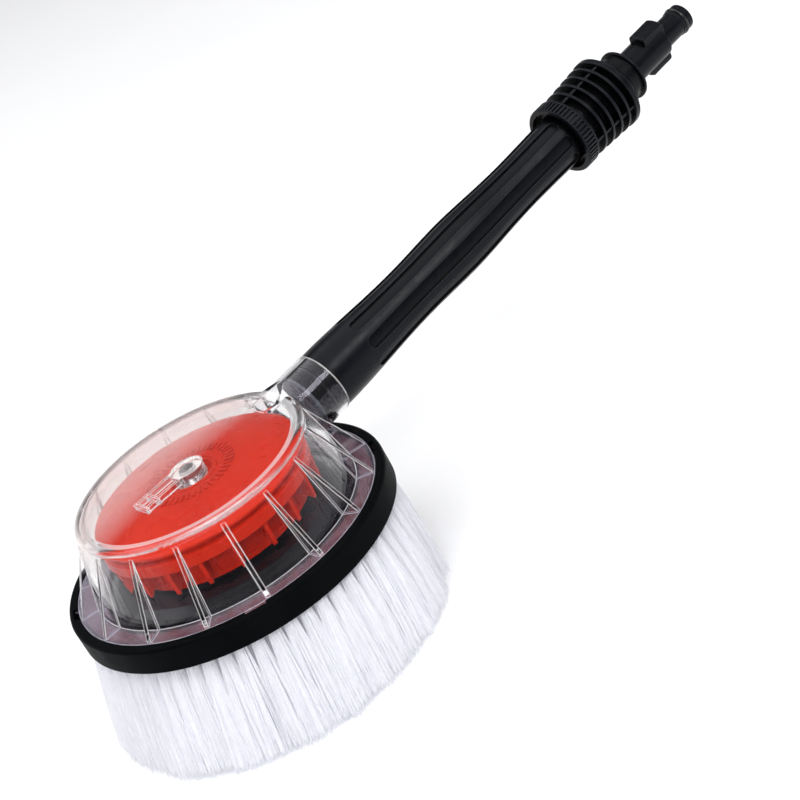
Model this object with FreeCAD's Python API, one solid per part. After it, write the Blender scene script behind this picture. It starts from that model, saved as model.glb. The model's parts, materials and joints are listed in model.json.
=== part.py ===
import FreeCAD, Part
import math
import os

# Rotary wash brush: water drives a turbine under a clear cover, and planet gears turn the brush disc.
# Millimetres. +Z is the spin axis, z = 0 is the plane of the bristle tips, the handle points to +X.

V = FreeCAD.Vector
AXIS_Z = V(0, 0, 1)
AXIS_X = V(1, 0, 0)
ORIGIN = V(0, 0, 0)

# ---- driving dimensions ----

# bumper ring
RING_R = 80.0
RING_WALL = 2.0
RING_BOTTOM = 49.0
RING_TOP = 61.8
LIP_R = 75.4
GROOVE_R = 77.6
GROOVE_BOTTOM = 58.7
GROOVE_TOP = 60.7

# clear cover
WALL = 2.4
FLANGE_R = 75.0
FLANGE_BOTTOM = 59.0
FLANGE_TOP = 61.5
COVER_FOOT_R = 66.0
COVER_SHOULDER_R = 57.4
COVER_SHOULDER_Z = 95.0
RIM_Z = 97.6
RIM_IN_R = 52.0
CROWN_Z = 99.2
COVER_RIBS = 16
COVER_RIB_PHASE = 2.5
COVER_RIB_THICK = 2.0
LUG_COUNT = 4
LUG_PHASE = -33.0
LUG_WIDTH = 9.0
BOSS_R = 8.0
BOSS_BOTTOM = 91.5

# handle axis, measured along the axis from the spin axis
HANDLE_Z = 78.7
HANDLE_TILT = 5.2
NECK_R = 16.1
NECK_BORE_R = 14.45
NECK_RIM_S = 79.4
SPIGOT_R = 14.2
SPIGOT_S = 66.0
GRIP_END_S = 270.0
GRIP_STATIONS = [(79.4, 15.5), (100, 15.2), (124, 14.1), (148, 13.75), (178, 14.5),
                 (200, 13.7), (222, 13.0), (248, 13.4), (262, 13.5)]
FLUTES = 8
FLUTE_PHASE = 31.0
FLUTE_START_S = 103.0
FLUTE_END_S = 257.0
FLUTE_WIDTH = 6.4
FLUTE_DEPTH = 1.0
GRIP_SHANK_R = 13.5
GRIP_BORE_R = 9.5

# rear connector
KNURL_START_S = 258.5
KNURL_END_S = 266.5
KNURL_R = 19.2
KNURL_TEETH = 54
KNURL_GAP = 1.15
KNURL_DEPTH = 0.9
KNURL_LENGTH = 6.0
BARREL_START_S = 262.5
BARREL_END_S = 304.0
BARREL_CORE_R = 15.2
BARREL_RIBS_S = [272.4, 278.4, 284.5, 290.5]
BARREL_R_FRONT = 18.9
BARREL_R_REAR = 20.5
END_RIB_S = 295.2
END_RIB_BACK_S = 298.6
BARREL_SPINES = 4
BARREL_SPINE_PHASE = 20.0
SHANK_R = 11.9
TUBE_R = 5.0
TUBE_BORE_R = 3.6
TUBE_START_S = 70.0
TUBE_END_S = 290.0
COLLAR_R = 14.3
COLLAR_S = 311.2
COLLAR_END_S = 312.6
STEM_R = 8.9
STEM_END_S = 341.6
BAYONET_R = 12.0
BAYONET_WIDTH = 10.0
BAYONET_PHASE = 15.0
BAYONET_START_S = 327.4
BAYONET_END_S = 342.8
NOSE_R = 7.3
NOSE_BODY_R = 6.95
NOSE_GROOVE_R = 5.9
GROOVE_S = 356.3
GROOVE_END_S = 359.1
NOSE_TIP_S = 362.2
WATER_R = 3.5

# spin axis hardware
AXLE_R = 4.0
RUNNING = 0.05
AXLE_BOTTOM = 46.4
AXLE_TOP = 95.8
HEX_FLATS = 10.0
BUSH_R = 6.0

# turbine wheel
TURBINE_R = 51.6
TURBINE_WALL_R = 44.2
TURBINE_BOTTOM = 65.4
HUB_R = 9.5
HUB_TOP = 90.0
FINS = 20
FIN_PHASE = 15.0
WEBS = 6
DOME_TEETH = 42
DOG_FLATS = 12.0

# gear train: sun on the turbine, planets on fixed pins, internal ring on the brush disc
MODULE = 1.0
SUN_TEETH = 15
PLANET_TEETH = 21
RING_TEETH = 57
PLANETS = 3
PRESSURE = math.radians(25)
ADDENDUM = 0.9 * MODULE
DEDENDUM = 1.25 * MODULE
BACKLASH = 0.12
GEAR_BOTTOM = 57.0
GEAR_TOP = 63.2
PLANET_ORBIT_R = MODULE * (SUN_TEETH + PLANET_TEETH) / 2
PIN_R = 2.0
CARRIER_BOTTOM = 53.0
CARRIER_TOP = 56.5
CARRIER_R = 27.0
CUP_R = 33.1
CUP_OUTER_R = 39.5
CUP_TOP = 61.8
DRUM_EDGE_R = 54.2
DRUM_R = 61.0
DRUM_TOP = 63.4
DRUM_SHOULDER_Z = 60.0
DRUM_WALL = 1.8
GEAR_SCREW_ORBIT_R = 36.4
GEAR_SCREWS = 6
GEAR_SCREW_PHASE = 10.0

# brush disc
PLATE_R = 77.3
PLATE_BOTTOM = 50.0
PLATE_TOP = 54.0
WEB_TOP = 52.0
SEAT_IN_R = 67.0
SEAT_OUT_R = 73.0
SEAT_TOP = 57.2
WATER_OUTLETS = 12
OUTLET_R = 2.2
OUTLET_ORBIT_R = 52.5
DRUM_OUTLET_R = 3.0
DRUM_OUTLET_ORBIT_R = 47.0
TUFT_HOLE_R = 2.0
TUFT_HOLE_DEPTH = 2.6
TUFT_BASE_R = 2.2
TUFT_TIP_R = 4.2
# each row: name, tufts, radius at the disc, radius at the tips
TUFT_ROWS = [("tufts_outer_row", 60, 74.6, 86.9), ("tufts_second_row", 52, 66.0, 74.4),
             ("tufts_third_row", 44, 57.0, 62.6), ("tufts_fourth_row", 36, 48.0, 51.2),
             ("tufts_inner_row", 28, 38.0, 39.6)]


# ---- helpers ----

def save(name, shape):
    shape.exportStep("parts/" + name + ".step")


def face_xz(start, steps):
    """Closed face in the XZ plane; a step is a point, or (middle, end) for an arc."""
    edges = []
    here = V(start[0], 0, start[1])
    for step in list(steps) + [start]:
        if isinstance(step[0], tuple):
            middle = V(step[0][0], 0, step[0][1])
            end = V(step[1][0], 0, step[1][1])
            edges.append(Part.Arc(here, middle, end).toShape())
        else:
            end = V(step[0], 0, step[1])
            edges.append(Part.makeLine(here, end))
        here = end
    return Part.Face(Part.Wire(edges))


def turned(start, *steps):
    """Solid of revolution about the spin axis, from (radius, z) points."""
    return face_xz(start, steps).revolve(ORIGIN, AXIS_Z, 360)


def tube(outer, inner, low, high):
    body = Part.makeCylinder(outer, high - low, V(0, 0, low))
    if inner <= 0:
        return body
    return body.cut(Part.makeCylinder(inner, high - low, V(0, 0, low)))


def around(shape, count, phase=0.0, axis=AXIS_Z):
    """Copies of a shape, evenly spaced about an axis through the origin."""
    copies = []
    for index in range(count):
        copy = shape.copy()
        copy.rotate(ORIGIN, axis, phase + index * 360.0 / count)
        copies.append(copy)
    return copies


def cap(rim_r, rim_z, crown_z):
    """Arc step from a rim point to the crown, on a sphere centred on the spin axis."""
    height = crown_z - rim_z
    sphere_r = (rim_r ** 2 + height ** 2) / (2 * height)
    middle_r = rim_r / 2
    middle_z = crown_z - sphere_r + math.sqrt(sphere_r ** 2 - middle_r ** 2)
    return ((middle_r, middle_z), (0, crown_z))


def plate_xz(points, thick):
    """Flat plate of the given thickness in the XZ plane, centred on y = 0."""
    face = face_xz(points[0], points[1:])
    face.translate(V(0, -thick / 2, 0))
    return face.extrude(V(0, thick, 0))


def hexagon(flats, low, high):
    radius = flats / math.sqrt(3)
    corners = [V(radius * math.cos(math.radians(60 * k)), radius * math.sin(math.radians(60 * k)), low)
               for k in range(7)]
    return Part.Face(Part.makePolygon(corners)).extrude(V(0, 0, high - low))


def on_handle(shape):
    """Places a shape, built about the X axis, on the tilted handle axis."""
    placed = shape.copy()
    placed.rotate(ORIGIN, V(0, 1, 0), -HANDLE_TILT)
    placed.translate(V(0, 0, HANDLE_Z))
    return placed


def turned_x(start, *steps):
    """Solid of revolution about the X axis, from (distance along the axis, radius) points."""
    return face_xz(start, steps).revolve(ORIGIN, AXIS_X, 360)


def sleeve_x(outer, inner, start, end):
    body = Part.makeCylinder(outer, end - start, V(start, 0, 0), AXIS_X)
    if inner <= 0:
        return body
    return body.cut(Part.makeCylinder(inner, end - start, V(start, 0, 0), AXIS_X))


def o_ring_x(major, minor, station):
    return Part.makeTorus(major, minor, V(station, 0, 0), AXIS_X)


# ---- gears ----

def tooth_half_angle(teeth, radius, extra):
    """Half the angle that a tooth fills at a radius, with extra width at the pitch circle."""
    pitch = MODULE * teeth / 2
    base = pitch * math.cos(PRESSURE)
    at_pitch = math.pi / (2 * teeth) + extra / (2 * pitch)
    slope = math.acos(min(1.0, base / radius))
    return at_pitch + math.tan(PRESSURE) - PRESSURE - (math.tan(slope) - slope)


def gear_face(teeth, root, tip, extra):
    """Flat outline of a gear with a tooth centred on +X."""
    base = MODULE * teeth / 2 * math.cos(PRESSURE)
    foot = max(base, root)
    flank = [foot + (tip - foot) * step / 4.0 for step in range(5)]
    points = []
    for index in range(teeth):
        centre = 2 * math.pi * index / teeth
        side = [(root, -tooth_half_angle(teeth, foot, extra))] if root < base - 0.01 else []
        side += [(radius, -tooth_half_angle(teeth, radius, extra)) for radius in flank]
        for radius, angle in side + [(r, -a) for r, a in reversed(side)]:
            points.append(V(radius * math.cos(centre + angle), radius * math.sin(centre + angle), 0))
    return Part.Face(Part.makePolygon(points + [points[0]]))


def spur_gear(teeth, low, high):
    pitch = MODULE * teeth / 2
    face = gear_face(teeth, pitch - DEDENDUM, pitch + ADDENDUM, -BACKLASH)
    face.translate(V(0, 0, low))
    return face.extrude(V(0, 0, high - low))


# ---- fixed body: cover, ring, axle and gear carrier ----

def cover_ceiling(drop):
    """Everything under the cover's top and the roof of the neck, lowered by drop."""
    return turned((0, 40), (95, 40), (95, 104 - drop), ((64, 101.0 - drop), (50, RIM_Z - drop)),
                  (0, RIM_Z - drop))


def clear_cover():
    outer = turned((0, FLANGE_BOTTOM), (FLANGE_R, FLANGE_BOTTOM), (FLANGE_R, FLANGE_TOP),
                   (COVER_FOOT_R, FLANGE_TOP), (COVER_SHOULDER_R, COVER_SHOULDER_Z),
                   ((56.7, 96.9), (55.0, RIM_Z)), (RIM_IN_R, RIM_Z), (RIM_IN_R - 0.5, RIM_Z - 0.6),
                   cap(RIM_IN_R - 0.5, RIM_Z - 0.6, CROWN_Z))
    neck = on_handle(turned_x((44, 0), (44, 19.5), (50, 18.6), ((56, 16.9), (63, NECK_R)),
                              (NECK_RIM_S, NECK_R), (NECK_RIM_S, 0)))
    outer = outer.fuse(neck.common(cover_ceiling(0)))
    rib = plate_xz([(56.2, 94.4), (57.8, 93.6), (74.2, 62.4), (74.2, 61.0), (64.6, 61.0)],
                   COVER_RIB_THICK)
    outer = outer.fuse(around(rib, COVER_RIBS, COVER_RIB_PHASE))
    inner = turned((0, 58), (COVER_FOOT_R - WALL, 58), (COVER_SHOULDER_R - WALL, 92.6),
                   ((54.3, 94.0), (52.4, RIM_Z - WALL - 0.4)),
                   cap(52.4, RIM_Z - WALL - 0.4, CROWN_Z - WALL))
    bore = on_handle(sleeve_x(NECK_BORE_R, 0, 44, NECK_RIM_S + 1)).common(cover_ceiling(NECK_R - NECK_BORE_R))
    shell = outer.cut(inner.fuse(bore))
    boss = tube(BOSS_R, 0, BOSS_BOTTOM, CROWN_Z - 1)
    arm = Part.makeBox(22, 1.6, 4, V(-28, 3.6, 93.9))
    arm_pair = [arm, arm.mirror(ORIGIN, V(0, 1, 0))]
    bars = [Part.makeBox(1.6, 11.6, 4, V(x, -5.8, 93.9)) for x in (-28.0, -21.5)]
    shell = shell.fuse([boss] + arm_pair + bars)
    lug = Part.makeBox(6, LUG_WIDTH, GROOVE_TOP - GROOVE_BOTTOM - 0.2,
                       V(71.2, -LUG_WIDTH / 2, GROOVE_BOTTOM + 0.1))
    lug = lug.common(tube(GROOVE_R - 0.2, 70, FLANGE_BOTTOM, GROOVE_TOP))
    shell = shell.fuse(around(lug, LUG_COUNT, LUG_PHASE))
    shell = shell.cut(tube(AXLE_R, 0, BOSS_BOTTOM, AXLE_TOP + 0.2))
    return shell.removeSplitter()


def bumper_ring():
    inner = RING_R - RING_WALL
    body = turned((inner, RING_BOTTOM), (RING_R - 0.5, RING_BOTTOM), (RING_R, RING_BOTTOM + 0.5),
                  (RING_R, RING_TOP - 2.0), ((79.5, RING_TOP - 0.5), (78.2, RING_TOP)),
                  (LIP_R + 0.3, RING_TOP), (LIP_R, RING_TOP - 0.3), (LIP_R, GROOVE_TOP),
                  (GROOVE_R, GROOVE_TOP), (GROOVE_R, GROOVE_BOTTOM), (inner, GROOVE_BOTTOM))
    notch = Part.makeBox(6, 10, 2, V(72, 0, GROOVE_TOP - 0.1)).common(tube(GROOVE_R, 70, 60, 63))
    # each bayonet notch opens beside its lug, where the lug went in before the ring was turned
    return body.cut(around(notch, LUG_COUNT, LUG_PHASE + 4.0))


def axle():
    hole_depth = 10.0
    body = tube(AXLE_R, 0, AXLE_BOTTOM, AXLE_TOP)
    body = body.fuse([hexagon(HEX_FLATS, CARRIER_BOTTOM, CARRIER_TOP),
                      tube(6.2, 0, CARRIER_TOP, CARRIER_TOP + 0.4)])
    return body.cut(tube(2.0, 0, AXLE_BOTTOM, AXLE_BOTTOM + hole_depth)).removeSplitter()


def gear_carrier():
    body = tube(CARRIER_R, 0, CARRIER_BOTTOM, CARRIER_TOP)
    pin_hole = tube(PIN_R, 0, CARRIER_BOTTOM, CARRIER_TOP)
    pin_hole.translate(V(PLANET_ORBIT_R, 0, 0))
    window = tube(4.5, 0, CARRIER_BOTTOM, CARRIER_TOP)
    window.translate(V(PLANET_ORBIT_R, 0, 0))
    cuts = around(pin_hole, PLANETS) + around(window, PLANETS, 180.0 / PLANETS)
    return body.cut(cuts + [hexagon(HEX_FLATS, CARRIER_BOTTOM, CARRIER_TOP)])


def planet_pins():
    pin = tube(PIN_R, 0, CARRIER_BOTTOM, 65.0).cut(tube(3, 1.6, 63.6, 64.2))
    pin.translate(V(PLANET_ORBIT_R, 0, 0))
    return Part.makeCompound(around(pin, PLANETS))


def planet_clips():
    clip = tube(3.8, 1.6, 63.6, 64.2)
    clip = clip.cut(Part.makeBox(4, 2.4, 2, V(0.5, -1.2, 63)))
    clip.translate(V(PLANET_ORBIT_R, 0, 0))
    return Part.makeCompound(around(clip, PLANETS))


def retaining_screw():
    head = turned((0, 42.6), (2.6, 42.6), ((3.7, 43.2), (4.0, 44.6)), (4.0, 45.3), (0, 45.3))
    slot_long = Part.makeBox(4.4, 0.9, 1.5, V(-2.2, -0.45, 42.3))
    slot_cross = Part.makeBox(0.9, 4.4, 1.5, V(-0.45, -2.2, 42.3))
    return head.fuse(tube(2.0, 0, 45.3, 55.4)).cut(slot_long.fuse(slot_cross)).removeSplitter()


# ---- turbine ----

def turbine_wheel():
    shell = turned((8.0, 88.0), (8.0, HUB_TOP), (9.6, HUB_TOP), (10.8, 92.8),
                   ((33, 91.9), (49.6, 88.6)), (50.6, 88.0), (50.6, 87.0), (48.0, 86.2),
                   (48.0, 84.8), (TURBINE_R, 84.2), (TURBINE_R, 79.0), (TURBINE_WALL_R, 78.2),
                   (TURBINE_WALL_R, TURBINE_BOTTOM), (42.2, TURBINE_BOTTOM), (42.2, 80.0),
                   (46.0, 82.0), (46.0, 86.6), ((32, 89.8), (12.5, 90.8)), (11.0, 88.0))
    hub = tube(HUB_R, 0, 65.5, HUB_TOP)
    fin = plate_xz([(43.4, 79.5), (51.2, 79.5), (51.2, 70.5), (50.8, 67.4), (43.4, 73.0)], 2.0)
    web = plate_xz([(9.0, 89.0), (42.5, 89.0), (42.5, 83.5), (9.0, 76.0)], 2.0)
    web = web.common(turned((9.0, 60), (46.0, 60), (46.0, 86.8), ((32, 89.9), (12.5, 90.9)), (9.0, 89.5)))
    tooth = Part.makeBox(4.4, 1.5, 2.4, V(17.4, -0.75, 91.0))
    bead = tube(13.4, 12.2, 92.0, 93.2)
    wheel = shell.fuse([hub, bead] + around(fin, FINS, FIN_PHASE) + around(web, WEBS)
                       + around(tooth, DOME_TEETH))
    pocket = Part.makeBox(2.0, 6.6, 8.6, V(TURBINE_WALL_R - 1.0, -3.3, 67.6))
    wheel = wheel.cut(around(pocket, FINS, FIN_PHASE + 180.0 / FINS))
    bores = tube(5.0, 0, 65, 91).fuse([tube(BUSH_R, 0, 72.5, 78.5), tube(BUSH_R, 0, 84.0, HUB_TOP),
                                       hexagon(DOG_FLATS, 65.0, 72.5)])
    return wheel.cut(bores).removeSplitter()


def sun_gear():
    gear = spur_gear(SUN_TEETH, GEAR_BOTTOM, 64.2)
    gear = gear.fuse([tube(9.0, 0, 64.2, 65.5), hexagon(DOG_FLATS, 65.5, 72.5)])
    return gear.cut(tube(AXLE_R + RUNNING, 0, 56, 73)).removeSplitter()


def planet_gear(index):
    """A planet meshes with the sun's tooth and the ring's gap on the line through its pin."""
    gear = spur_gear(PLANET_TEETH, GEAR_BOTTOM, GEAR_TOP)
    gear = gear.cut(tube(PIN_R + RUNNING, 0, GEAR_BOTTOM, GEAR_TOP))
    gear = gear.cut(tube(7.6, 4.2, GEAR_TOP - 1.2, GEAR_TOP))
    bearing = index * 360.0 / PLANETS
    gear.rotate(ORIGIN, AXIS_Z, bearing + 180.0 + 180.0 / PLANET_TEETH)
    angle = math.radians(bearing)
    gear.translate(V(PLANET_ORBIT_R * math.cos(angle), PLANET_ORBIT_R * math.sin(angle), 0))
    return gear


# ---- brush disc ----

def tuft_places(count, radius):
    return [(radius * math.cos(2 * math.pi * k / count), radius * math.sin(2 * math.pi * k / count))
            for k in range(count)]


def brush_plate():
    plate = turned((8.6, 47.6), (10.5, 47.6), (12.5, PLATE_BOTTOM), (PLATE_R, PLATE_BOTTOM),
                   (PLATE_R, PLATE_TOP), (SEAT_OUT_R, PLATE_TOP), (SEAT_OUT_R, SEAT_TOP),
                   (SEAT_IN_R, SEAT_TOP), (SEAT_IN_R, PLATE_TOP), (CUP_OUTER_R, PLATE_TOP),
                   (CUP_OUTER_R, CUP_TOP), (CUP_R, CUP_TOP), (CUP_R, WEB_TOP), (6.5, WEB_TOP),
                   (6.5, 47.6))
    rib_end = DRUM_R - DRUM_WALL - 1.0
    rib = plate_xz([(CUP_OUTER_R - 0.5, PLATE_TOP - 0.5), (CUP_OUTER_R - 0.5, 59.5), (47.0, 57.0),
                    (rib_end, 55.5), (rib_end, PLATE_TOP - 0.5)], 2.0)
    plate = plate.fuse(around(rib, WATER_OUTLETS, 180.0 / WATER_OUTLETS))
    outlet = tube(OUTLET_R, 0, PLATE_BOTTOM, PLATE_TOP)
    outlet.translate(V(OUTLET_ORBIT_R, 0, 0))
    screw_hole = tube(1.5, 0, 56.0, CUP_TOP)
    screw_hole.translate(V(GEAR_SCREW_ORBIT_R, 0, 0))
    plate = plate.cut(around(outlet, WATER_OUTLETS)
                      + around(screw_hole, GEAR_SCREWS, GEAR_SCREW_PHASE))
    holes = []
    for name, count, base, tip in TUFT_ROWS:
        for x, y in tuft_places(count, base):
            holes.append(Part.makeCylinder(TUFT_HOLE_R, TUFT_HOLE_DEPTH, V(x, y, PLATE_BOTTOM)))
    return plate.cut(holes)


def tuft_row(count, base, tip):
    """Separate tufts that lean outwards and spread towards their tips."""
    tufts = []
    for (x, y), (far_x, far_y) in zip(tuft_places(count, base), tuft_places(count, tip)):
        top = Part.Wire(Part.makeCircle(TUFT_BASE_R, V(x, y, PLATE_BOTTOM)))
        end = Part.Wire(Part.makeCircle(TUFT_TIP_R, V(far_x, far_y, 0)))
        root = Part.makeCylinder(TUFT_HOLE_R, TUFT_HOLE_DEPTH, V(x, y, PLATE_BOTTOM))
        tufts.append(Part.makeLoft([top, end], True, True).fuse(root))
    return Part.makeCompound(tufts)


def ring_gear():
    """Internal gear and, in one piece with it, the raised drum that stands on the brush plate."""
    pitch = MODULE * RING_TEETH / 2
    body = tube(CUP_R - 0.1, 0, GEAR_BOTTOM - 0.2, DRUM_TOP)
    drum = turned((0, CUP_TOP), (0, DRUM_TOP), (DRUM_EDGE_R, DRUM_TOP), (DRUM_R, DRUM_SHOULDER_Z),
                  (DRUM_R, PLATE_TOP), (DRUM_R - DRUM_WALL, PLATE_TOP),
                  (DRUM_R - DRUM_WALL, DRUM_SHOULDER_Z - 1.0), (DRUM_EDGE_R - 0.6, CUP_TOP))
    space = gear_face(RING_TEETH, pitch - ADDENDUM, pitch + DEDENDUM, BACKLASH)
    space.translate(V(0, 0, 50))
    hole = tube(1.5, 0, CUP_TOP, DRUM_TOP)
    hole.translate(V(GEAR_SCREW_ORBIT_R, 0, 0))
    outlet = tube(DRUM_OUTLET_R, 0, CUP_TOP, DRUM_TOP)
    outlet.translate(V(DRUM_OUTLET_ORBIT_R, 0, 0))
    cuts = [space.extrude(V(0, 0, 20))] + around(hole, GEAR_SCREWS, GEAR_SCREW_PHASE)
    return body.fuse(drum).cut(cuts + around(outlet, WATER_OUTLETS)).removeSplitter()


def ring_gear_screws():
    head = turned((0, DRUM_TOP), (2.7, DRUM_TOP), ((2.3, 64.5), (1.2, 64.9)), (0, 64.9))
    screw = head.fuse(tube(1.5, 0, 56.0, DRUM_TOP))
    screw = screw.cut([Part.makeBox(3.0, 0.6, 1.5, V(-1.5, -0.3, 64.1)),
                       Part.makeBox(0.6, 3.0, 1.5, V(-0.3, -1.5, 64.1))])
    screw.translate(V(GEAR_SCREW_ORBIT_R, 0, 0))
    return Part.makeCompound(around(screw, GEAR_SCREWS, GEAR_SCREW_PHASE))


# ---- handle and connector, built about the X axis ----

def grip_core(sunk):
    """The grip's outer shape, waisted twice along its length, sunk below its surface by an amount."""
    stations = [V(s, 0, r - sunk) for s, r in GRIP_STATIONS]
    curve = Part.BSplineCurve()
    curve.interpolate(stations)
    ends = [stations[-1], V(GRIP_END_S, 0, GRIP_SHANK_R - sunk), V(GRIP_END_S, 0, 0),
            V(NECK_RIM_S, 0, 0), stations[0]]
    straight = [Part.makeLine(a, b) for a, b in zip(ends, ends[1:])]
    return Part.Face(Part.Wire([curve.toShape()] + straight)).revolve(ORIGIN, AXIS_X, 360)


def handle_grip():
    half = FLUTE_WIDTH / 2
    start = FLUTE_START_S + half
    end = FLUTE_END_S - half
    edges = [Part.makeLine(V(start, 8, -half), V(end, 8, -half)),
             Part.Arc(V(end, 8, -half), V(FLUTE_END_S, 8, 0), V(end, 8, half)).toShape(),
             Part.makeLine(V(end, 8, half), V(start, 8, half)),
             Part.Arc(V(start, 8, half), V(FLUTE_START_S, 8, 0), V(start, 8, -half)).toShape()]
    slot = Part.Face(Part.Wire(edges)).extrude(V(0, 12, 0))
    flute = slot.cut(grip_core(FLUTE_DEPTH))
    body = grip_core(0).fuse(sleeve_x(SPIGOT_R, 0, SPIGOT_S, NECK_RIM_S))
    body = body.cut(around(flute, FLUTES, FLUTE_PHASE, AXIS_X))
    bore = sleeve_x(GRIP_BORE_R, 0, SPIGOT_S, GRIP_END_S)
    groove = sleeve_x(SPIGOT_R + 1, 13.0, 72.0, 74.0)
    return on_handle(body.cut([bore, groove]))


def nozzle_insert():
    body = sleeve_x(SPIGOT_R, 0, SPIGOT_S - 1.6, SPIGOT_S)
    body = body.fuse(sleeve_x(GRIP_BORE_R, 0, SPIGOT_S, 76.0)).removeSplitter()
    body = body.cut(sleeve_x(TUBE_R, 0, TUBE_START_S, 76.0))
    # the jet leaves at an angle that makes it a tangent to the ring of vanes
    jet = Part.makeCylinder(1.4, 14, V(71.0, 0, 0), V(-math.cos(math.radians(48)), 0.743, 0))
    return on_handle(body.cut(jet))


def knurled_ring():
    body = turned_x((KNURL_START_S, 16.5), (KNURL_START_S, KNURL_R - 0.9),
                    ((KNURL_START_S + 0.3, KNURL_R - 0.3), (KNURL_START_S + 1.0, KNURL_R)),
                    (KNURL_END_S - 0.6, KNURL_R), (KNURL_END_S, KNURL_R - 0.6),
                    (KNURL_END_S, BARREL_CORE_R), (BARREL_START_S, BARREL_CORE_R),
                    (BARREL_START_S, 16.5))
    groove = Part.makeBox(KNURL_LENGTH, KNURL_GAP, 2.0,
                          V(KNURL_START_S + 0.5, -KNURL_GAP / 2, KNURL_R - KNURL_DEPTH))
    return on_handle(body.cut(around(groove, KNURL_TEETH, 0.0, AXIS_X)))


def grip_barrel():
    core = sleeve_x(BARREL_CORE_R, 0, BARREL_START_S, BARREL_END_S)
    first = BARREL_RIBS_S[0]
    span = END_RIB_BACK_S - first
    ribs = []
    for station in BARREL_RIBS_S:
        radius = BARREL_R_FRONT + (BARREL_R_REAR - BARREL_R_FRONT) * (station - first) / span
        ribs.append(sleeve_x(radius, 0, station - 0.7, station + 0.7))
    end_rib = turned_x((END_RIB_S, 0), (END_RIB_S, BARREL_R_REAR - 0.4),
                       (END_RIB_S + 0.4, BARREL_R_REAR), (END_RIB_BACK_S - 0.4, BARREL_R_REAR),
                       (END_RIB_BACK_S, BARREL_R_REAR - 0.4), (302.6, 14.9), (BARREL_END_S, 14.6),
                       (BARREL_END_S, 0))
    spine = plate_xz([(KNURL_END_S, 10), (KNURL_END_S, 18.2), (297.0, 19.4), (297.0, 10)], 1.4)
    body = core.fuse(ribs + [end_rib] + around(spine, BARREL_SPINES, BARREL_SPINE_PHASE, AXIS_X))
    bores = sleeve_x(GRIP_SHANK_R, 0, BARREL_START_S, GRIP_END_S).fuse(
        sleeve_x(SHANK_R, 0, GRIP_END_S, BARREL_END_S))
    return on_handle(body.cut(bores).removeSplitter())


def bayonet_spigot():
    body = turned_x((276, 0), (276, SHANK_R), (BARREL_END_S, SHANK_R), (BARREL_END_S, 12.6),
                    (COLLAR_S - 0.4, 12.6), (COLLAR_S, COLLAR_R - 0.3), (COLLAR_S + 0.3, COLLAR_R),
                    (COLLAR_END_S - 0.2, COLLAR_R), (COLLAR_END_S, COLLAR_R - 0.2),
                    (COLLAR_END_S, 10.4), ((313.0, 9.4), (314.6, STEM_R)), (STEM_END_S - 0.6, STEM_R),
                    (STEM_END_S, STEM_R - 0.6), (STEM_END_S + 0.4, NOSE_BODY_R),
                    (GROOVE_S - 1.5, NOSE_BODY_R), (GROOVE_S - 1.2, NOSE_R), (GROOVE_S, NOSE_R),
                    (GROOVE_S, NOSE_GROOVE_R), (GROOVE_END_S, NOSE_GROOVE_R), (GROOVE_END_S, NOSE_R),
                    (NOSE_TIP_S - 0.6, NOSE_R),
                    ((NOSE_TIP_S - 0.15, NOSE_R - 0.15), (NOSE_TIP_S, NOSE_R - 0.6)), (NOSE_TIP_S, 0))
    lug = Part.makeBox(BAYONET_END_S - BAYONET_START_S, BAYONET_WIDTH, 16,
                       V(BAYONET_START_S, -BAYONET_WIDTH / 2, 0))
    lug = lug.common(turned_x((BAYONET_START_S, 0), (BAYONET_START_S, BAYONET_R - 0.7),
                              (BAYONET_START_S + 0.7, BAYONET_R), (BAYONET_END_S - 0.7, BAYONET_R),
                              (BAYONET_END_S, BAYONET_R - 0.7), (BAYONET_END_S, 0)))
    body = body.fuse(around(lug, 2, BAYONET_PHASE, AXIS_X)).removeSplitter()
    body = body.cut([sleeve_x(WATER_R, 0, 270, 370), sleeve_x(TUBE_R, 0, 270, TUBE_END_S),
                     sleeve_x(6.2, 0, 286.5, 288.0)])
    return on_handle(body)


def inlet_filter():
    body = sleeve_x(WATER_R, 0, 350.0, 350.8)
    mesh = Part.makeCylinder(0.55, 0.8, V(350.0, 1.9, 0), AXIS_X)
    centre = Part.makeCylinder(0.7, 0.8, V(350.0, 0, 0), AXIS_X)
    return on_handle(body.cut(around(mesh, 6, 0.0, AXIS_X) + [centre]))


os.makedirs("parts", exist_ok=True)

save("clear_cover", clear_cover())
save("bumper_ring", bumper_ring())
save("axle", axle())
save("gear_carrier", gear_carrier())
save("planet_pins", planet_pins())
save("planet_clips", planet_clips())
save("thrust_washer", tube(8.0, AXLE_R + RUNNING, 52.1, 52.9))
save("retaining_washer", tube(8.0, 2.1, 45.3, AXLE_BOTTOM))
save("retaining_screw", retaining_screw())

save("turbine_wheel", turbine_wheel())
save("turbine_bush_lower", tube(BUSH_R, AXLE_R + RUNNING, 72.5, 78.5))
save("turbine_bush_upper", tube(BUSH_R, AXLE_R + RUNNING, 84.0, HUB_TOP))
save("turbine_washer", tube(7.5, AXLE_R + RUNNING, 90.1, 91.4))
save("sun_gear", sun_gear())
for number in range(PLANETS):
    save("planet_gear_%d" % (number + 1), planet_gear(number))

save("brush_plate", brush_plate())
save("brush_bush", turned((AXLE_R + RUNNING, 46.5), (8.5, 46.5), (8.5, 47.6), (6.5, 47.6),
                          (6.5, WEB_TOP), (AXLE_R + RUNNING, WEB_TOP)))
save("slide_ring", tube(SEAT_OUT_R, SEAT_IN_R, SEAT_TOP, SEAT_TOP + 1.5))
save("ring_gear", ring_gear())
save("ring_gear_screws", ring_gear_screws())
for row_name, tufts, base_r, tip_r in TUFT_ROWS:
    save(row_name, tuft_row(tufts, base_r, tip_r))

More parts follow.
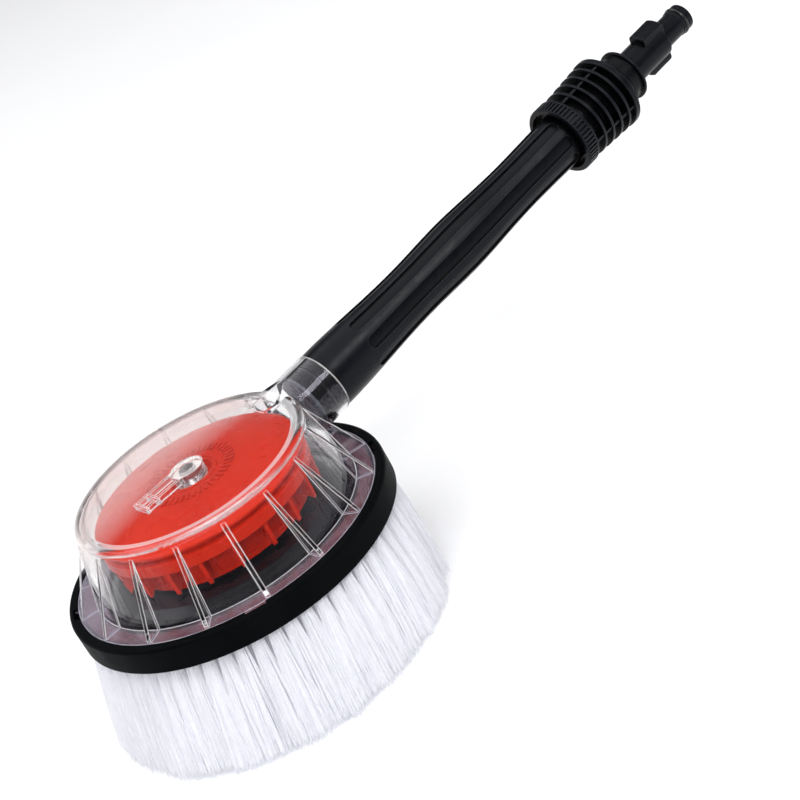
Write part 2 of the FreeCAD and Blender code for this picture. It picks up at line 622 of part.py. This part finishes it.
save("handle_grip", handle_grip())
save("nozzle_insert", nozzle_insert())
save("water_tube", on_handle(sleeve_x(TUBE_R, TUBE_BORE_R, TUBE_START_S, TUBE_END_S)))
save("neck_o_ring", on_handle(o_ring_x(13.7, 0.7, 73.0)))
save("tube_o_ring", on_handle(o_ring_x(5.6, 0.6, 287.2)))
save("knurled_ring", knurled_ring())
save("grip_barrel", grip_barrel())
save("bayonet_spigot", bayonet_spigot())
save("nose_o_ring", on_handle(o_ring_x(6.86, 0.95, 357.7)))
save("inlet_filter", inlet_filter())
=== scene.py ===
import json
import math

import bpy
import numpy as np
from mathutils import Matrix, Vector


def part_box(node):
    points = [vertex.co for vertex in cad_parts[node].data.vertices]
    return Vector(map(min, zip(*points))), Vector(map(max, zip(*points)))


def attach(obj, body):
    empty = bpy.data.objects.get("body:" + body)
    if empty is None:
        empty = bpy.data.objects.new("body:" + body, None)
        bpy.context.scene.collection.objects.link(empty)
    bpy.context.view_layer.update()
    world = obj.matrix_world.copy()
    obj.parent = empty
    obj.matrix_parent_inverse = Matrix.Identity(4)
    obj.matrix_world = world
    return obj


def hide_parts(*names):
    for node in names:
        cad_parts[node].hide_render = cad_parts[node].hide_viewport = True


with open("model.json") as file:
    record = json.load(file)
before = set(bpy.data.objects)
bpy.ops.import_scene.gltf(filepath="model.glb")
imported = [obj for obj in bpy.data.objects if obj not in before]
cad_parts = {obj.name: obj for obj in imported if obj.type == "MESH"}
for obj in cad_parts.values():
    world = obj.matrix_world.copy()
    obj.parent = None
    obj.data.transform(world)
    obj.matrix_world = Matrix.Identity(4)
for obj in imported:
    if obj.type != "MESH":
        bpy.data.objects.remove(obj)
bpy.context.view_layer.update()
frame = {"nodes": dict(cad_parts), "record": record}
nodes = frame["nodes"]
scene = bpy.context.scene
SEED = 20
RNG = np.random.default_rng(SEED)

# ---- driving values, metres ----
TUFT_SET_DEPTH = 0.0026
PLATE_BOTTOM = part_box("tufts_outer_row")[1].z - TUFT_SET_DEPTH
CAMERA_AT = (-0.2857, -0.7538, 0.4618)
CAMERA_RIGHT = (0.680, -0.592, -0.432)
CAMERA_UP = (0.601, 0.114, 0.791)
CAMERA_BACK = (-0.419, -0.798, 0.434)
CAMERA_LENS = 89.5
SENSOR_WIDTH = 36.0

# each row: piece, CAD node, tufts, radius at the disc, radius at the tips, filaments in a tuft
BRISTLE_ROWS = [
    ("bristles_outer", "tufts_outer_row", 60, 0.0746, 0.0803, 128),
    ("bristles_second", "tufts_second_row", 52, 0.0660, 0.0704, 84),
    ("bristles_third", "tufts_third_row", 44, 0.0570, 0.0601, 64),
    ("bristles_fourth", "tufts_fourth_row", 36, 0.0480, 0.0498, 56),
    ("bristles_inner", "tufts_inner_row", 28, 0.0380, 0.0390, 60),
]
TUFT_BASE_R = 0.0028
TUFT_TIP_R = 0.0045        # across the row
TUFT_TIP_SIDE = 0.0072     # along the row, so that neighbours run together
TUFT_LEAN = 0.0007
FILAMENT_R = 0.00019
FILAMENT_R_RANGE = (0.85, 1.15)
FILAMENT_SIDES = 3
FILAMENT_STEPS = np.array([0.0, 0.3, 0.65, 0.95, 1.0])
FILAMENT_WIDTHS = np.array([1.0, 1.0, 1.0, 0.9, 0.4])
FILAMENT_LOOSE = 0.0005
FILAMENT_BOW = 0.0002
ROW_BOW = 0.0009
TIP_UNEVEN = 0.0012
ROOT_SUNK = 0.0001
# the circles of tips lie off the spin axis, as in the photo
TIP_SHIFT = np.array([-0.0085, -0.0068])
# painted shade: the filaments turn grey over these heights near the floor
TIP_SHADE_Z = (0.0005, 0.0040)

# the clear cover: where its rim land, foot flange and neck begin and end, as (from, to) of a soft edge
RIM_TOP_Z = (0.0960, 0.0972)
LAND_INNER_R = (0.0514, 0.0520)
LAND_OUTER_R = (0.0546, 0.0552)
FLANGE_TOP_Z = (0.0617, 0.0623)
FLANGE_INNER_R = (0.0655, 0.0668)
# where the painted reflection lies: high on the cover, round its rim, short of its neck, and on its +Y side
BROW_Z = (0.080, 0.0955)
BROW_R = (0.0535, 0.0560)
NECK_X = (0.048, 0.056)
FAR_SIDE_WAY = (-0.10, 0.99, 0.0)
FAR_SIDE = (-0.004, 0.022)
# how milky it is, from 0 to 1: its rim land (a painted reflection), the mottling of its flange, the
# flange's +Y side (a painted reflection), the veil round its rim and over its shoulder on that side (a
# painted reflection), and its edges (a painted highlight)
LAND_PAINTED_REFLECTION = 0.34
FLANGE_MILK = 0.10
FAR_FLANGE_PAINTED_REFLECTION = 0.12
RIM_PAINTED_REFLECTION = 0.32
SHOULDER_PAINTED_REFLECTION = 0.13
EDGE_PAINTED_HIGHLIGHT = 0.72
FAR_TOP_CLEARS = 0.9
MILK_ROUGHNESS = 0.2
CLEAR_ROUGHNESS = (0.004, 0.018)

# the studio
FLOOR_HALF = 6.0
FLOOR_DROP = 0.0004
ROOM_COLOUR = (0.96, 0.97, 1.0)
ROOM_LIGHT = 0.32
BACKDROP_WAY = (0.465, 0.885, 0.0)
BACKDROP_LIGHT = 0.65
BACKDROP_TOP = (0.12, 0.30)
BACKDROP_SIDES = (-0.1, 0.5)
BAND_SHADE = 0.20
BAND_BOTTOM = (0.28, 0.36)
BAND_TOP = (0.58, 0.68)
BAND_SIDES = (0.2, 0.6)
# name, place, aimed at, width, height, watts
LAMPS = [
    ("top_box", (0.10, 0.00, 2.50), (0.05, 0.0, 0.0), 4.2, 3.0, 63.0),
    ("key_box", (0.64, -1.02, 1.12), (0.12, 0.0, 0.08), 0.45, 0.45, 6.0),
    ("front_box", (-1.15, -1.20, 1.05), (0.0, 0.0, 0.03), 1.3, 0.8, 15.0),
    ("side_strip", (1.30, -0.75, 0.35), (0.03, 0.0, 0.07), 0.12, 0.6, 0.7),
    ("back_box", (-0.95, 1.10, 1.45), (0.05, 0.0, 0.03), 1.1, 0.9, 6.0),
]


# ---- materials ----

# a Mix node's sockets for colours
MIX_A, MIX_B, MIX_RESULT = 6, 7, 2
# painted highlight along edges (paler) and painted shade in grooves (darker, found by occlusion): how far
# they reach, and where their masks begin and end
EDGE_HIGHLIGHT_WIDTH = 0.0009
EDGE_HIGHLIGHT_MASK = (0.90, 0.995)
GROOVE_SHADE_REACH = 0.006
GROOVE_SHADE_MASK = (0.86, 0.99)
GROOVE_SHADE_COLOUR = (0.0008, 0.0010, 0.0014)
# clear plastic
CLEAR_TINTS = (0.955, 0.945, 0.955), (0.99, 0.985, 0.99)
CLEAR_REFLECTION = (0.30, 0.29, 0.34)
CLEAR_SHADOW = (0.87, 0.86, 0.87)
CLEAR_IOR = 1.5
CLEAR_ROUNDING = 0.0006
# width and mask of the painted edge highlight
CLEAR_EDGE_WIDTH = 0.0007
CLEAR_EDGE_MASK = (0.93, 0.995)
# colour of the painted reflection over the +Y shoulder
PAINTED_REFLECTION_TINT = (0.93, 0.87, 0.85)
FLANGE_TINT = (0.64, 0.61, 0.71)
# white filament
FILAMENT_WHITES = (0.84, 0.84, 0.87), (0.90, 0.90, 0.915)
FILAMENT_SHADOW = (0.85, 0.85, 0.86)
# painted light: the filaments glow faintly, standing in for light scattered among them
FILAMENT_PAINTED_GLOW_COLOUR = (0.96, 0.96, 1.0)
FILAMENT_PAINTED_GLOW = 0.048
FILAMENT_THROUGH_COLOUR = (0.97, 0.97, 0.99)
FILAMENT_THROUGH = 0.42
# the grey of the painted shade at the tips
TIP_SHADE_GREY = (0.60, 0.62, 0.66)


def new_material(name):
    """A material with one Principled shader: itself, its node tree, the shader and the output."""
    made = bpy.data.materials.new(name)
    made.use_nodes = True
    tree = made.node_tree
    tree.nodes.clear()
    out = tree.nodes.new("ShaderNodeOutputMaterial")
    shader = tree.nodes.new("ShaderNodeBsdfPrincipled")
    tree.links.new(shader.outputs["BSDF"], out.inputs["Surface"])
    return made, tree, shader, out


def noise(tree, scale, detail=3.0, roughness=0.55, stretch=None):
    """Noise fixed to the piece, so that it moves with it."""
    place = tree.nodes.new("ShaderNodeTexCoord")
    made = tree.nodes.new("ShaderNodeTexNoise")
    made.inputs["Scale"].default_value = scale
    made.inputs["Detail"].default_value = detail
    made.inputs["Roughness"].default_value = roughness
    source = place.outputs["Object"]
    if stretch is not None:
        mapping = tree.nodes.new("ShaderNodeMapping")
        mapping.inputs["Scale"].default_value = stretch
        tree.links.new(source, mapping.inputs["Vector"])
        source = mapping.outputs["Vector"]
    tree.links.new(source, made.inputs["Vector"])
    return made.outputs["Fac"]


def colours_from(tree, source, low, high, start=0.35, end=0.65):
    """A colour between low and high."""
    ramp = tree.nodes.new("ShaderNodeValToRGB")
    ramp.color_ramp.elements[0].position = start
    ramp.color_ramp.elements[1].position = end
    ramp.color_ramp.elements[0].color = (*low, 1)
    ramp.color_ramp.elements[1].color = (*high, 1)
    tree.links.new(source, ramp.inputs["Fac"])
    return ramp.outputs["Color"]


def range_from(tree, source, low, high, start=0.3, end=0.7):
    """A number between low and high."""
    made = tree.nodes.new("ShaderNodeMapRange")
    made.inputs["From Min"].default_value = start
    made.inputs["From Max"].default_value = end
    made.inputs["To Min"].default_value = low
    made.inputs["To Max"].default_value = high
    tree.links.new(source, made.inputs["Value"])
    return made.outputs["Result"]


def bump(tree, source, strength, distance, below=None):
    """Relief of a height in metres, over an earlier relief if one is given."""
    made = tree.nodes.new("ShaderNodeBump")
    made.inputs["Strength"].default_value = strength
    made.inputs["Distance"].default_value = distance
    tree.links.new(source, made.inputs["Height"])
    if below is not None:
        tree.links.new(below, made.inputs["Normal"])
    return made.outputs["Normal"]


def moulded(name, low, high, rough, grain=1500, depth=0.00004, patch=40, specular=0.4,
            wave=0.0004, edge=0.0, edge_highlight=None):
    """Moulded plastic: faintly cloudy colour, uneven gloss, fine grain over slight waviness.

    Its edges look rounded by edge, and where edge_highlight is given the edges get a paler colour as a
    painted highlight and the grooves a darker colour as painted shade.
    """
    made, tree, shader, _ = new_material(name)
    colour = colours_from(tree, noise(tree, patch), low, high)
    if edge_highlight:
        # painted highlight: a paler colour along the edges; painted shade: a darker colour in the grooves,
        # where occlusion finds them
        colour = blended(tree, edge_mask(tree, EDGE_HIGHLIGHT_WIDTH, *EDGE_HIGHLIGHT_MASK), colour, edge_highlight)
        unshaded = smooth_step(tree, crevice(tree, GROOVE_SHADE_REACH), *GROOVE_SHADE_MASK)
        colour = blended(tree, unshaded, GROOVE_SHADE_COLOUR, colour)
    tree.links.new(colour, shader.inputs["Base Color"])
    gloss = range_from(tree, noise(tree, patch * 4), rough[0], rough[1])
    tree.links.new(gloss, shader.inputs["Roughness"])
    below = None
    if edge:
        below = rounded_normal(tree, edge)
    wavy = bump(tree, noise(tree, patch * 2.2, 1.0), 0.15, wave, below)
    fine = bump(tree, noise(tree, grain, 2.0, 0.7), 0.6, depth, wavy)
    tree.links.new(fine, shader.inputs["Normal"])
    shader.inputs["Specular IOR Level"].default_value = specular
    return made


def metal(name, low, high, rough, stretch=(1, 1, 12)):
    """Turned or drawn metal: fine streaks in colour, gloss and surface."""
    made, tree, shader, _ = new_material(name)
    streak = noise(tree, 260, 4.0, 0.6, stretch)
    tree.links.new(colours_from(tree, streak, low, high), shader.inputs["Base Color"])
    tree.links.new(range_from(tree, streak, rough[0], rough[1]), shader.inputs["Roughness"])
    tree.links.new(bump(tree, streak, 0.3, 0.00003), shader.inputs["Normal"])
    shader.inputs["Metallic"].default_value = 1.0
    return made


def smooth_step(tree, source, low, high):
    """0 below low, 1 above high."""
    return range_from(tree, source, 0.0, 1.0, low, high)


def one_minus(tree, value):
    return combine(tree, "SUBTRACT", 1.0, value)


def times(tree, first, second):
    return combine(tree, "MULTIPLY", first, second)


def combine(tree, kind, first, second):
    """One step of arithmetic; first and second are numbers or sockets."""
    made = tree.nodes.new("ShaderNodeMath")
    made.operation = kind
    for place, value in enumerate((first, second)):
        if isinstance(value, (int, float)):
            made.inputs[place].default_value = value
        else:
            tree.links.new(value, made.inputs[place])
    return made.outputs["Value"]


def rounded_normal(tree, radius, samples=4):
    """The surface's direction, with its sharp edges rounded by radius."""
    made = tree.nodes.new("ShaderNodeBevel")
    made.samples = samples
    made.inputs["Radius"].default_value = radius
    return made.outputs["Normal"]


def edge_mask(tree, radius, sharp, soft):
    """1 along the moulding's edges and 0 on its plain faces."""
    geometry = tree.nodes.new("ShaderNodeNewGeometry")
    dot = tree.nodes.new("ShaderNodeVectorMath")
    dot.operation = "DOT_PRODUCT"
    tree.links.new(rounded_normal(tree, radius, 6), dot.inputs[0])
    tree.links.new(geometry.outputs["Normal"], dot.inputs[1])
    return range_from(tree, dot.outputs["Value"], 1.0, 0.0, sharp, soft)


def crevice(tree, distance):
    """Less than 1 in grooves, 1 in the open."""
    made = tree.nodes.new("ShaderNodeAmbientOcclusion")
    made.samples = 6
    made.inputs["Distance"].default_value = distance
    return made.outputs["AO"]


def blended(tree, share, first, second):
    """The first colour where share is 0, the second where it is 1."""
    made = tree.nodes.new("ShaderNodeMix")
    made.data_type = "RGBA"
    tree.links.new(share, made.inputs["Factor"])
    for place, value in ((MIX_A, first), (MIX_B, second)):
        if isinstance(value, tuple):
            made.inputs[place].default_value = (*value, 1)
        else:
            tree.links.new(value, made.inputs[place])
    return made.outputs[MIX_RESULT]


def axis_radius(tree):
    """Distance from the spin axis, height, and place along the handle."""
    place = tree.nodes.new("ShaderNodeTexCoord")
    parts = tree.nodes.new("ShaderNodeSeparateXYZ")
    tree.links.new(place.outputs["Object"], parts.inputs["Vector"])
    x2 = times(tree, parts.outputs["X"], parts.outputs["X"])
    y2 = times(tree, parts.outputs["Y"], parts.outputs["Y"])
    total = combine(tree, "ADD", x2, y2)
    return combine(tree, "SQRT", total, 0.0), parts.outputs["Z"], parts.outputs["X"]


def far_side(tree):
    """1 on the cover's +Y side, 0 on its -Y side."""
    place = tree.nodes.new("ShaderNodeTexCoord")
    dot = tree.nodes.new("ShaderNodeVectorMath")
    dot.operation = "DOT_PRODUCT"
    dot.inputs[1].default_value = FAR_SIDE_WAY
    tree.links.new(place.outputs["Object"], dot.inputs[0])
    return smooth_step(tree, dot.outputs["Value"], *FAR_SIDE)


def shown_through(tree, shader_out, colour, out):
    """Shadows pass through in a colour; everything else meets the surface."""
    passing = tree.nodes.new("ShaderNodeBsdfTransparent")
    passing.inputs["Color"].default_value = (*colour, 1)
    path = tree.nodes.new("ShaderNodeLightPath")
    mix = tree.nodes.new("ShaderNodeMixShader")
    tree.links.new(path.outputs["Is Shadow Ray"], mix.inputs["Fac"])
    tree.links.new(shader_out, mix.inputs[1])
    tree.links.new(passing.outputs["BSDF"], mix.inputs[2])
    tree.links.new(mix.outputs["Shader"], out.inputs["Surface"])


def clear_plastic(name):
    """Clear polycarbonate: milky in its flange; at its edges milky as a painted highlight, and on its rim
    land, on its flange's +Y side and over one shoulder milky as a painted reflection.
    """
    made, tree, shader, out = new_material(name)
    radius, height, along = axis_radius(tree)
    far = far_side(tree)
    tint = colours_from(tree, noise(tree, 30, 2.0), *CLEAR_TINTS)

    on_top = smooth_step(tree, height, *RIM_TOP_Z)
    inside = one_minus(tree, smooth_step(tree, radius, *LAND_OUTER_R))
    # painted reflection: the rim land is made milky, a pale band
    land = times(tree, smooth_step(tree, radius, *LAND_INNER_R), inside)
    land = times(tree, times(tree, land, on_top), LAND_PAINTED_REFLECTION)

    low = one_minus(tree, smooth_step(tree, height, *FLANGE_TOP_Z))
    foot = times(tree, low, smooth_step(tree, radius, *FLANGE_INNER_R))
    mottle_and_reflection = range_from(tree, noise(tree, 90, 4.0, 0.65), 0.0, FLANGE_MILK)
    # painted reflection: the flange is milkier on its +Y side
    mottle_and_reflection = combine(tree, "ADD", mottle_and_reflection, times(tree, far, FAR_FLANGE_PAINTED_REFLECTION))
    flange = times(tree, foot, mottle_and_reflection)

    # painted reflection: a milky, pale pink veil over the +Y shoulder and round the rim
    brow = times(tree, far, smooth_step(tree, height, *BROW_Z))
    brow = times(tree, brow, one_minus(tree, smooth_step(tree, along, *NECK_X)))
    rim = times(tree, smooth_step(tree, radius, *BROW_R), RIM_PAINTED_REFLECTION)
    far_reflection = times(tree, brow, combine(tree, "ADD", rim, SHOULDER_PAINTED_REFLECTION))

    reflection_tinted = blended(tree, brow, tint, PAINTED_REFLECTION_TINT)
    tree.links.new(blended(tree, foot, reflection_tinted, FLANGE_TINT), shader.inputs["Base Color"])

    # on the +Y top the painted edge highlight and the painted reflection on the rim land are mostly cleared
    keep = one_minus(tree, times(tree, times(tree, on_top, far), FAR_TOP_CLEARS))
    # painted highlight: the edges are made milky so that they read as bright lines
    lines = times(tree, edge_mask(tree, CLEAR_EDGE_WIDTH, *CLEAR_EDGE_MASK), EDGE_PAINTED_HIGHLIGHT)
    edges = times(tree, lines, keep)
    milky = combine(tree, "MAXIMUM", times(tree, land, keep), flange)
    milky = combine(tree, "MAXIMUM", combine(tree, "MAXIMUM", edges, milky), far_reflection)
    tree.links.new(one_minus(tree, milky), shader.inputs["Transmission Weight"])
    even = range_from(tree, noise(tree, 90, 3.0), *CLEAR_ROUGHNESS)
    rough = combine(tree, "ADD", even, times(tree, milky, MILK_ROUGHNESS))
    tree.links.new(rough, shader.inputs["Roughness"])
    flow = noise(tree, 70, 2.0, 0.5, (1, 1, 2.5))
    wavy = bump(tree, flow, 0.12, 0.0005, rounded_normal(tree, CLEAR_ROUNDING))
    tree.links.new(wavy, shader.inputs["Normal"])
    shader.inputs["IOR"].default_value = CLEAR_IOR
    shader.inputs["Specular Tint"].default_value = (*CLEAR_REFLECTION, 1)
    shown_through(tree, shader.outputs["BSDF"], CLEAR_SHADOW, out)
    return made


def filament_white(name):
    """White polyester filament: faint lilac-grey variation, silky, lets light on; a faint glow is painted
    light, and the grey at its tips is painted shade.
    """
    made, tree, shader, out = new_material(name)
    strand = noise(tree, 900, 2.0, 0.5, (1, 1, 0.06))
    colour = colours_from(tree, strand, *FILAMENT_WHITES)
    height = axis_radius(tree)[1]
    # painted shade: greyer at the tips, near the floor
    colour = blended(tree, smooth_step(tree, height, *TIP_SHADE_Z), TIP_SHADE_GREY, colour)
    tree.links.new(colour, shader.inputs["Base Color"])
    tree.links.new(range_from(tree, strand, 0.32, 0.5), shader.inputs["Roughness"])
    tree.links.new(bump(tree, noise(tree, 1600, 2.0), 0.3, 0.00003), shader.inputs["Normal"])
    shader.inputs["Specular IOR Level"].default_value = 0.3
    # painted light: a faint glow
    shader.inputs["Emission Color"].default_value = (*FILAMENT_PAINTED_GLOW_COLOUR, 1)
    shader.inputs["Emission Strength"].default_value = FILAMENT_PAINTED_GLOW
    through = tree.nodes.new("ShaderNodeBsdfTranslucent")
    through.inputs["Color"].default_value = (*FILAMENT_THROUGH_COLOUR, 1)
    body = tree.nodes.new("ShaderNodeMixShader")
    body.inputs["Fac"].default_value = FILAMENT_THROUGH
    tree.links.new(shader.outputs["BSDF"], body.inputs[1])
    tree.links.new(through.outputs["BSDF"], body.inputs[2])
    shown_through(tree, body.outputs["Shader"], FILAMENT_SHADOW, out)
    return made


MATERIALS = {
    "clear_plastic": clear_plastic("clear_moulding"),
    "black_plastic": moulded("black_moulding", (0.0012, 0.0018, 0.0022), (0.0022, 0.0029, 0.0034),
                             (0.42, 0.54), depth=0.00001, specular=0.02, edge=0.0003),
    "grip_plastic": moulded("grip_moulding", (0.0022, 0.0031, 0.0050), (0.0036, 0.0046, 0.0070),
                            (0.24, 0.36), specular=0.11, edge=0.0005, edge_highlight=(0.020, 0.023, 0.030)),
    "red_plastic": moulded("red_moulding", (0.45, 0.014, 0.002), (0.50, 0.019, 0.003),
                           (0.24, 0.32), grain=900, patch=18, specular=0.10, edge=0.0004),
    "dark_red_plastic": moulded("dark_red_moulding", (0.085, 0.004, 0.004), (0.13, 0.007, 0.006),
                                (0.35, 0.5)),
    "white_acetal": moulded("acetal", (0.76, 0.75, 0.70), (0.84, 0.83, 0.79), (0.3, 0.42), edge=0.0002),
    "steel": metal("turned_steel", (0.50, 0.50, 0.51), (0.66, 0.66, 0.67), (0.2, 0.34)),
    "spring_steel": metal("dark_spring_steel", (0.24, 0.24, 0.26), (0.36, 0.36, 0.38), (0.3, 0.45)),
    "steel_tube": metal("drawn_tube", (0.46, 0.46, 0.47), (0.60, 0.60, 0.61), (0.25, 0.4), (12, 1, 1)),
    "bronze": metal("sintered_bronze", (0.48, 0.31, 0.14), (0.62, 0.42, 0.20), (0.4, 0.55), (1, 1, 1)),
    "black_rubber": moulded("nitrile", (0.005, 0.005, 0.006), (0.008, 0.008, 0.009), (0.14, 0.22),
                            specular=0.4),
    "bristle": filament_white("white_filament"),
}
OWN_LOOKS = {
    "ring_gear": moulded("polished_black", (0.0015, 0.0016, 0.0020), (0.0025, 0.0026, 0.0032), (0.05, 0.10),
                         depth=0.0000002, wave=0.00002, specular=0.12, edge=0.0004),
    "nozzle_insert": moulded("slate_plug", (0.046, 0.052, 0.063), (0.060, 0.067, 0.080), (0.22, 0.34),
                             depth=0.000004, specular=0.3, edge=0.0004),
}
for part in frame["record"]["subparts"]:
    look = OWN_LOOKS.get(part["node"], MATERIALS[part["material_slot"]])
    for place in nodes[part["node"]].material_slots:
        place.material = look


# ---- bristles ----

def filament_row(name, count, base_r, tip_r, strands):
    """One row of tufts as separate thin filaments, three-sided, pointed and uneven at the tips."""
    sides = FILAMENT_SIDES
    total = count * strands
    tuft = np.repeat(np.arange(count), strands)
    angle = 2 * math.pi * tuft / count
    spin = RNG.uniform(0, 2 * math.pi, total)
    reach = np.sqrt(RNG.uniform(0, 1, total))
    tuft_lean = RNG.normal(0, TUFT_LEAN, (count, 2))[tuft]
    out = np.stack([np.cos(angle), np.sin(angle)], 1)
    side = np.stack([-np.sin(angle), np.cos(angle)], 1)
    spread = np.stack([np.cos(spin), np.sin(spin)], 1) * reach[:, None]
    offset = out * spread[:, :1] + side * spread[:, 1:]
    start = out * base_r + offset * TUFT_BASE_R
    loose = RNG.normal(0, FILAMENT_LOOSE, (total, 2))
    fanned = out * spread[:, :1] * TUFT_TIP_R + side * spread[:, 1:] * TUFT_TIP_SIDE
    end = out * tip_r + TIP_SHIFT + fanned + loose + tuft_lean
    tip_z = np.abs(RNG.normal(0, TIP_UNEVEN, total)) + RNG.uniform(0, TIP_UNEVEN, count)[tuft]
    bow = RNG.normal(0, FILAMENT_BOW, (total, 2)) + out * ROW_BOW
    root = PLATE_BOTTOM - ROOT_SUNK
    rings = []
    for step in FILAMENT_STEPS:
        middle = start + (end - start) * step + bow * (4 * step * (1 - step))
        rings.append(np.column_stack([middle, root + (tip_z - root) * step]))
    rings = np.stack(rings, 1)
    turn = RNG.uniform(0, 2 * math.pi, total)
    radius = FILAMENT_R * RNG.uniform(*FILAMENT_R_RANGE, total)
    corners = []
    for corner in range(sides):
        bearing = turn + corner * 2 * math.pi / sides
        around = np.stack([np.cos(bearing), np.sin(bearing), np.zeros(total)], 1) * radius[:, None]
        corners.append(rings + around[:, None, :] * FILAMENT_WIDTHS[None, :, None])
    points = np.stack(corners, 2).reshape(-1, 3)
    per = len(FILAMENT_STEPS) * sides
    walls = []
    for ring in range(len(FILAMENT_STEPS) - 1):
        for corner in range(sides):
            after = (corner + 1) % sides
            low, high = ring * sides, (ring + 1) * sides
            walls.append((low + corner, low + after, high + after, high + corner)[::-1])
    tip = per - sides
    first = np.arange(total)[:, None, None] * per
    quads = (first + np.array(walls)[None]).reshape(-1, 4)
    caps = (first + np.array([[tip, tip + 1, tip + 2]])[None]).reshape(-1, 3)
    loops = np.concatenate([quads.ravel(), caps.ravel()]).astype(np.int32)
    starts = np.concatenate([np.arange(len(quads)) * 4, len(quads) * 4 + np.arange(len(caps)) * 3])
    mesh = bpy.data.meshes.new(name)
    mesh.vertices.add(len(points))
    mesh.vertices.foreach_set("co", points.astype(np.float32).ravel())
    mesh.loops.add(len(loops))
    mesh.loops.foreach_set("vertex_index", loops)
    mesh.polygons.add(len(starts))
    mesh.polygons.foreach_set("loop_start", starts.astype(np.int32))
    mesh.polygons.foreach_set("use_smooth", np.ones(len(starts), bool))
    mesh.update(calc_edges=True)
    mesh.validate()
    made = bpy.data.objects.new(name, mesh)
    scene.collection.objects.link(made)
    made.data.materials.append(MATERIALS["bristle"])
    return made


for piece, cad_node, count, base_r, tip_r, strands in BRISTLE_ROWS:
    row = filament_row(piece, count, base_r, tip_r, strands)
    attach(row, "brush_disc")
    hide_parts(cad_node)


# ---- floor, lights, camera ----

def floor():
    """Pale, nearly matt floor just below the bristle tips."""
    mesh = bpy.data.meshes.new("floor")
    corners = [(FLOOR_HALF * x, FLOOR_HALF * y, 0) for x, y in ((-1, -1), (1, -1), (1, 1), (-1, 1))]
    mesh.from_pydata(corners, [], [(0, 1, 2, 3)])
    made = bpy.data.objects.new("floor", mesh)
    made.location.z = -FLOOR_DROP
    scene.collection.objects.link(made)
    look, tree, shader, _ = new_material("pale_floor")
    tree.links.new(colours_from(tree, noise(tree, 3.0), (0.94, 0.94, 0.945), (0.96, 0.96, 0.965)),
                   shader.inputs["Base Color"])
    tree.links.new(range_from(tree, noise(tree, 12.0), 0.75, 0.85), shader.inputs["Roughness"])
    shader.inputs["Specular IOR Level"].default_value = 0.1
    mesh.materials.append(look)


def softbox(name, at, target, width, height, power):
    """A rectangular lamp with an even face."""
    data = bpy.data.lights.new(name, "AREA")
    data.shape = "RECTANGLE"
    data.size = width
    data.size_y = height
    data.energy = power
    made = bpy.data.objects.new(name, data)
    made.location = at
    made.rotation_mode = "QUATERNION"
    made.rotation_quaternion = (Vector(target) - Vector(at)).to_track_quat("-Z", "Y")
    scene.collection.objects.link(made)


floor()
for lamp in LAMPS:
    softbox(*lamp)


def studio_world():
    """Dim studio with a pale backdrop low down behind the brush, and a darker band above it."""
    made = bpy.data.worlds.new("studio")
    made.use_nodes = True
    tree = made.node_tree
    place = tree.nodes.new("ShaderNodeTexCoord")
    parts = tree.nodes.new("ShaderNodeSeparateXYZ")
    tree.links.new(place.outputs["Generated"], parts.inputs["Vector"])
    behind = tree.nodes.new("ShaderNodeVectorMath")
    behind.operation = "DOT_PRODUCT"
    behind.inputs[1].default_value = BACKDROP_WAY
    tree.links.new(place.outputs["Generated"], behind.inputs[0])
    rise, facing = parts.outputs["Z"], behind.outputs["Value"]
    backdrop = times(tree, one_minus(tree, smooth_step(tree, rise, *BACKDROP_TOP)),
                     smooth_step(tree, facing, *BACKDROP_SIDES))
    band = times(tree, smooth_step(tree, rise, *BAND_BOTTOM),
                 one_minus(tree, smooth_step(tree, rise, *BAND_TOP)))
    band = times(tree, band, smooth_step(tree, facing, *BAND_SIDES))
    strength = combine(tree, "ADD", times(tree, backdrop, BACKDROP_LIGHT), ROOM_LIGHT)
    strength = combine(tree, "SUBTRACT", strength, times(tree, band, BAND_SHADE))
    shade = tree.nodes["Background"]
    shade.inputs["Color"].default_value = (*ROOM_COLOUR, 1)
    tree.links.new(strength, shade.inputs["Strength"])
    return made


scene.world = studio_world()
scene.cycles.max_bounces = 24
scene.cycles.diffuse_bounces = 8
scene.cycles.glossy_bounces = 8
scene.cycles.transmission_bounces = 24
scene.cycles.transparent_max_bounces = 32
scene.view_settings.view_transform = "Standard"
scene.view_settings.look = "None"

eye = bpy.data.objects.new("camera", bpy.data.cameras.new("camera"))
eye.data.lens = CAMERA_LENS
eye.data.sensor_width = SENSOR_WIDTH
eye.data.clip_start = 0.01
eye.data.clip_end = 50.0
turn = Matrix((CAMERA_RIGHT, CAMERA_UP, CAMERA_BACK)).transposed()
eye.matrix_world = Matrix.Translation(CAMERA_AT) @ turn.normalized().to_4x4()
scene.collection.objects.link(eye)
scene.camera = eye
